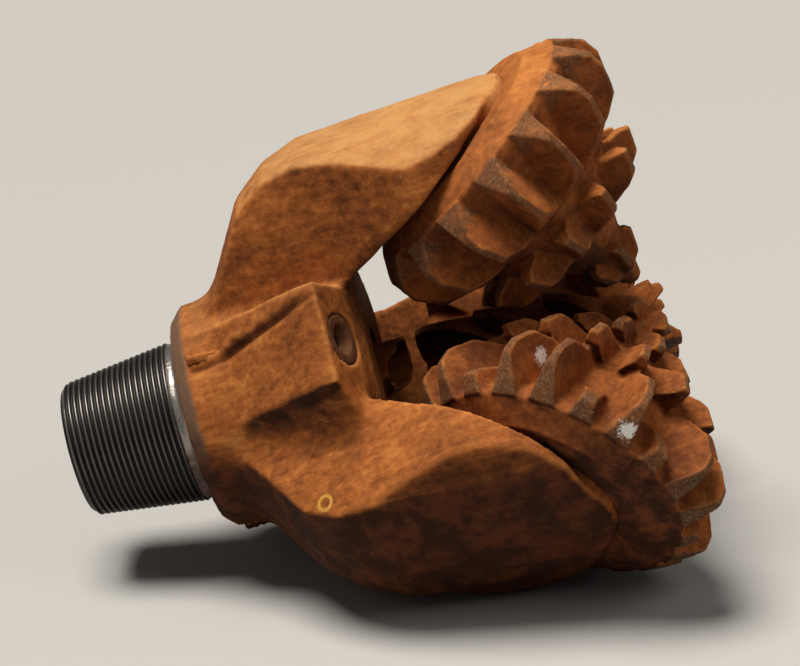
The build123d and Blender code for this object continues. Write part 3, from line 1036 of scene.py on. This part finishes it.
@dataclass
class Thread:
    """The pin's tapered thread, cut as a helix over the plain taper.

    Attributes:
        pitch: Length of one turn, in metres.
        depth: Depth of the thread, in metres.
        small_radius: Radius over the crests at the pin's small end, in metres.
        slope: Rise of the radius along the pin.
        length: Length of the pin, in metres.
        relief: Plain length behind the thread, in metres.
        chamfer: Length of the chamfer at the small end, in metres.
        around: Columns of points round the pin.
        profile: Part of a pitch and part of the depth of each point of one turn.
        shell: Distance of the inner wall from the crests, in metres.
    """

    pitch: float = 0.00635
    depth: float = 0.0037
    small_radius: float = 0.07224
    slope: float = 0.125
    length: float = 0.13335
    relief: float = 0.013
    chamfer: float = 0.005
    around: int = 180
    profile: tuple[Span, ...] = (
        (0.0, 1.0),
        (0.13, 0.15),
        (0.2, 0.0),
        (0.45, 0.0),
        (0.52, 0.15),
        (0.65, 1.0),
        (0.82, 1.0),
    )
    shell: float = 0.007

    def taper(self, station: float) -> float:
        """Radius over the crests."""
        return self.small_radius + station * self.slope

    def build(self, finish: bpy.types.Material) -> None:
        """Makes and dresses the thread."""
        mesh = bpy.data.meshes.new("thread")
        piece = bpy.data.objects.new("thread", mesh)
        bpy.context.scene.collection.objects.link(piece)
        points, faces, crest = self.helix()
        mesh.from_pydata(LAY.to_row(points).tolist(), [], faces)
        mesh.update()
        shape = bmesh.new()
        shape.from_mesh(mesh)
        bmesh.ops.recalc_face_normals(shape, faces=shape.faces)
        shape.to_mesh(mesh)
        shape.free()
        put_attribute(mesh, "bit", points)
        put_attribute(mesh, "crest", crest)
        # Painted shade mask on the thread's downward side.
        down = -points[:, 2] / np.hypot(points[:, 1], points[:, 2])
        put_attribute(mesh, "under", step(down, -0.35, 0.45))
        mesh.materials.append(finish)
        mesh.shade_smooth()
        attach(piece, "bit_body")
        LOG.info("thread: %d faces", len(faces))

    def helix(self) -> tuple[Array, list, Array]:
        """Points in the bit's frame, faces, and how near the crest each point is."""
        end = self.length - self.relief
        turns = int(math.ceil(end / self.pitch)) + 1
        steps = len(self.profile)
        points: list[Triple] = []
        crest: list[float] = []
        rows = turns * steps
        for column in range(self.around):
            part = column / self.around
            angle = part * 2.0 * math.pi
            for row in range(rows + 1):
                turn, spot = divmod(row, steps)
                along, cut = self.profile[spot]
                station = (turn - 1 + along + part) * self.pitch
                held = min(max(station, 0.0), end)
                radius = self.taper(held) - self.depth * cut
                if held < self.chamfer:
                    radius = min(radius, self.small_radius - self.chamfer + held)
                points.append((held, radius * math.cos(angle), radius * math.sin(angle)))
                crest.append(1.0 - cut)
        inner_start = len(points)
        for column in range(self.around):
            angle = column / self.around * 2.0 * math.pi
            for station in (0.0, end):
                radius = self.taper(station) - self.shell
                points.append((station, radius * math.cos(angle), radius * math.sin(angle)))
                crest.append(0.0)
        faces: list[tuple[int, ...]] = []
        height = rows + 1
        for column in range(self.around):
            last = column == self.around - 1
            after = 0 if last else column + 1
            lift = steps if last else 0
            for row in range(rows - lift):
                here = column * height + row
                there = after * height + row + lift
                faces.append((here, here + 1, there + 1, there))
            inner = inner_start + column * 2
            inner_after = inner_start + after * 2
            faces.append((inner, inner + 1, inner_after + 1, inner_after))
            top = column * height + rows - lift
            faces.append((column * height, after * height + lift, inner_after, inner))
            faces.append((top, inner + 1, inner_after + 1, after * height + rows))
        return np.array(points), faces, np.array(crest)


@dataclass(frozen=True)
class Lamp:
    """A lamp at a place, pointed at another.

    Attributes:
        name: The lamp's name.
        kind: Blender's lamp type.
        spread: Size of an area lamp in metres, or angle of a sun.
        energy: Watts of an area lamp, or watts a square metre of a sun.
        tint: Colour of the light.
        place: Where it hangs.
        aim: What it is pointed at.
    """

    name: str
    kind: str
    spread: float
    energy: float
    tint: Triple
    place: Triple
    aim: Triple

    def hang(self) -> None:
        """Makes the lamp."""
        light = bpy.data.lights.new(self.name, self.kind)
        setattr(light, "angle" if self.kind == "SUN" else "size", self.spread)
        light.energy, light.color = self.energy, self.tint
        thing = bpy.data.objects.new(self.name, light)
        bpy.context.scene.collection.objects.link(thing)
        thing.location = self.place
        direction = Vector(self.aim) - Vector(self.place)
        thing.rotation_euler = direction.to_track_quat("-Z", "Y").to_euler()


WARM, NEUTRAL = (1.0, 0.97, 0.92), (1.0, 0.98, 0.95)
LAMPS = (
    Lamp("overhead", "SUN", math.radians(30.0), 3.9, WARM, (-0.55, -0.05, 2.4), (0.0, 0.0, 0.0)),
    Lamp("front", "AREA", 1.2, 3.0, NEUTRAL, (-1.5, -2.6, 1.9), (0.0, 0.0, 0.2)),
    Lamp("side", "AREA", 1.6, 14.0, WARM, (1.9, -1.3, 2.3), (0.1, 0.0, 0.2)),
)


@dataclass
class Studio:
    """Pale floor, light from above and the camera of the photographed view.

    Attributes:
        camera_place: Where the camera is, in metres.
        camera_turn: Its rotation, in degrees.
        lens: Its focal length, in millimetres.
        sensor: Width of its sensor, in millimetres.
        view_end: How far it sees, in metres.
        floor_size: Length of the floor's side, in metres.
        floor_level: Height of the floor, in metres.
        fill: Strength of the world's light.
        fill_tint: Colour of that light.
        backdrop: Colour that the camera sees behind the floor.
    """

    camera_place: Triple = (0.0361, -2.9029, 1.1968)
    camera_turn: Triple = (71.829, 3.441, -0.883)
    lens: float = 129.5
    sensor: float = 36.0
    view_end: float = 80.0
    floor_size: float = 40.0
    floor_level: float = -0.0006
    fill: float = 0.07
    fill_tint: Colour = (1.0, 0.98, 0.96, 1.0)
    backdrop: Colour = srgb(226, 223, 218)

    def build(self, floor_finish: bpy.types.Material) -> None:
        """Makes the stage, lamps and camera."""
        scene = bpy.context.scene
        scene.view_settings.view_transform = "Standard"
        bpy.ops.mesh.primitive_plane_add(
            size=self.floor_size, location=(0.0, 0.0, self.floor_level)
        )
        floor = bpy.context.object
        floor.name = "floor"
        floor.data.materials.append(floor_finish)
        for lamp in LAMPS:
            lamp.hang()
        self.sky()
        camera = bpy.data.objects.new("camera", bpy.data.cameras.new("camera"))
        scene.collection.objects.link(camera)
        camera.data.lens = self.lens
        camera.data.sensor_width = self.sensor
        camera.data.clip_end = self.view_end
        camera.location = self.camera_place
        camera.rotation_euler = [math.radians(turn) for turn in self.camera_turn]
        scene.camera = camera

    def sky(self) -> None:
        """Soft world light, and a pale backdrop where the camera looks straight at it."""
        world = bpy.data.worlds.new("studio")
        bpy.context.scene.world = world
        world.use_nodes = True
        nodes, links = world.node_tree.nodes, world.node_tree.links
        nodes.clear()
        out = nodes.new("ShaderNodeOutputWorld")
        lit = nodes.new("ShaderNodeBackground")
        lit.inputs[0].default_value = self.fill_tint
        lit.inputs[1].default_value = self.fill
        seen = nodes.new("ShaderNodeBackground")
        seen.inputs[0].default_value = self.backdrop
        seen.inputs[1].default_value = 1.0
        path = nodes.new("ShaderNodeLightPath")
        pick = nodes.new("ShaderNodeMixShader")
        links.new(path.outputs["Is Camera Ray"], pick.inputs[0])
        links.new(lit.outputs[0], pick.inputs[1])
        links.new(seen.outputs[0], pick.inputs[2])
        links.new(pick.outputs[0], out.inputs[0])


def main() -> None:
    """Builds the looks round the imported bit."""
    logging.basicConfig(level=logging.INFO, format="%(name)s: %(message)s")
    FRAME.update(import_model())
    rust = Rust().make()
    dark = Rust(
        name="dark_rust", bloom=srgb(140, 88, 54), skin=srgb(110, 66, 42), dark=srgb(50, 32, 22)
    ).make()
    Legs().build(rust)
    NOZZLE.build(dark)
    Cones().build(Toothed().make())
    Beads().build(rust, rust)
    Thread().build(GreasedThread().make())
    Studio().build(Plain("pale_floor", srgb(186, 183, 178)).make())


if __name__ == "__main__":
    main()
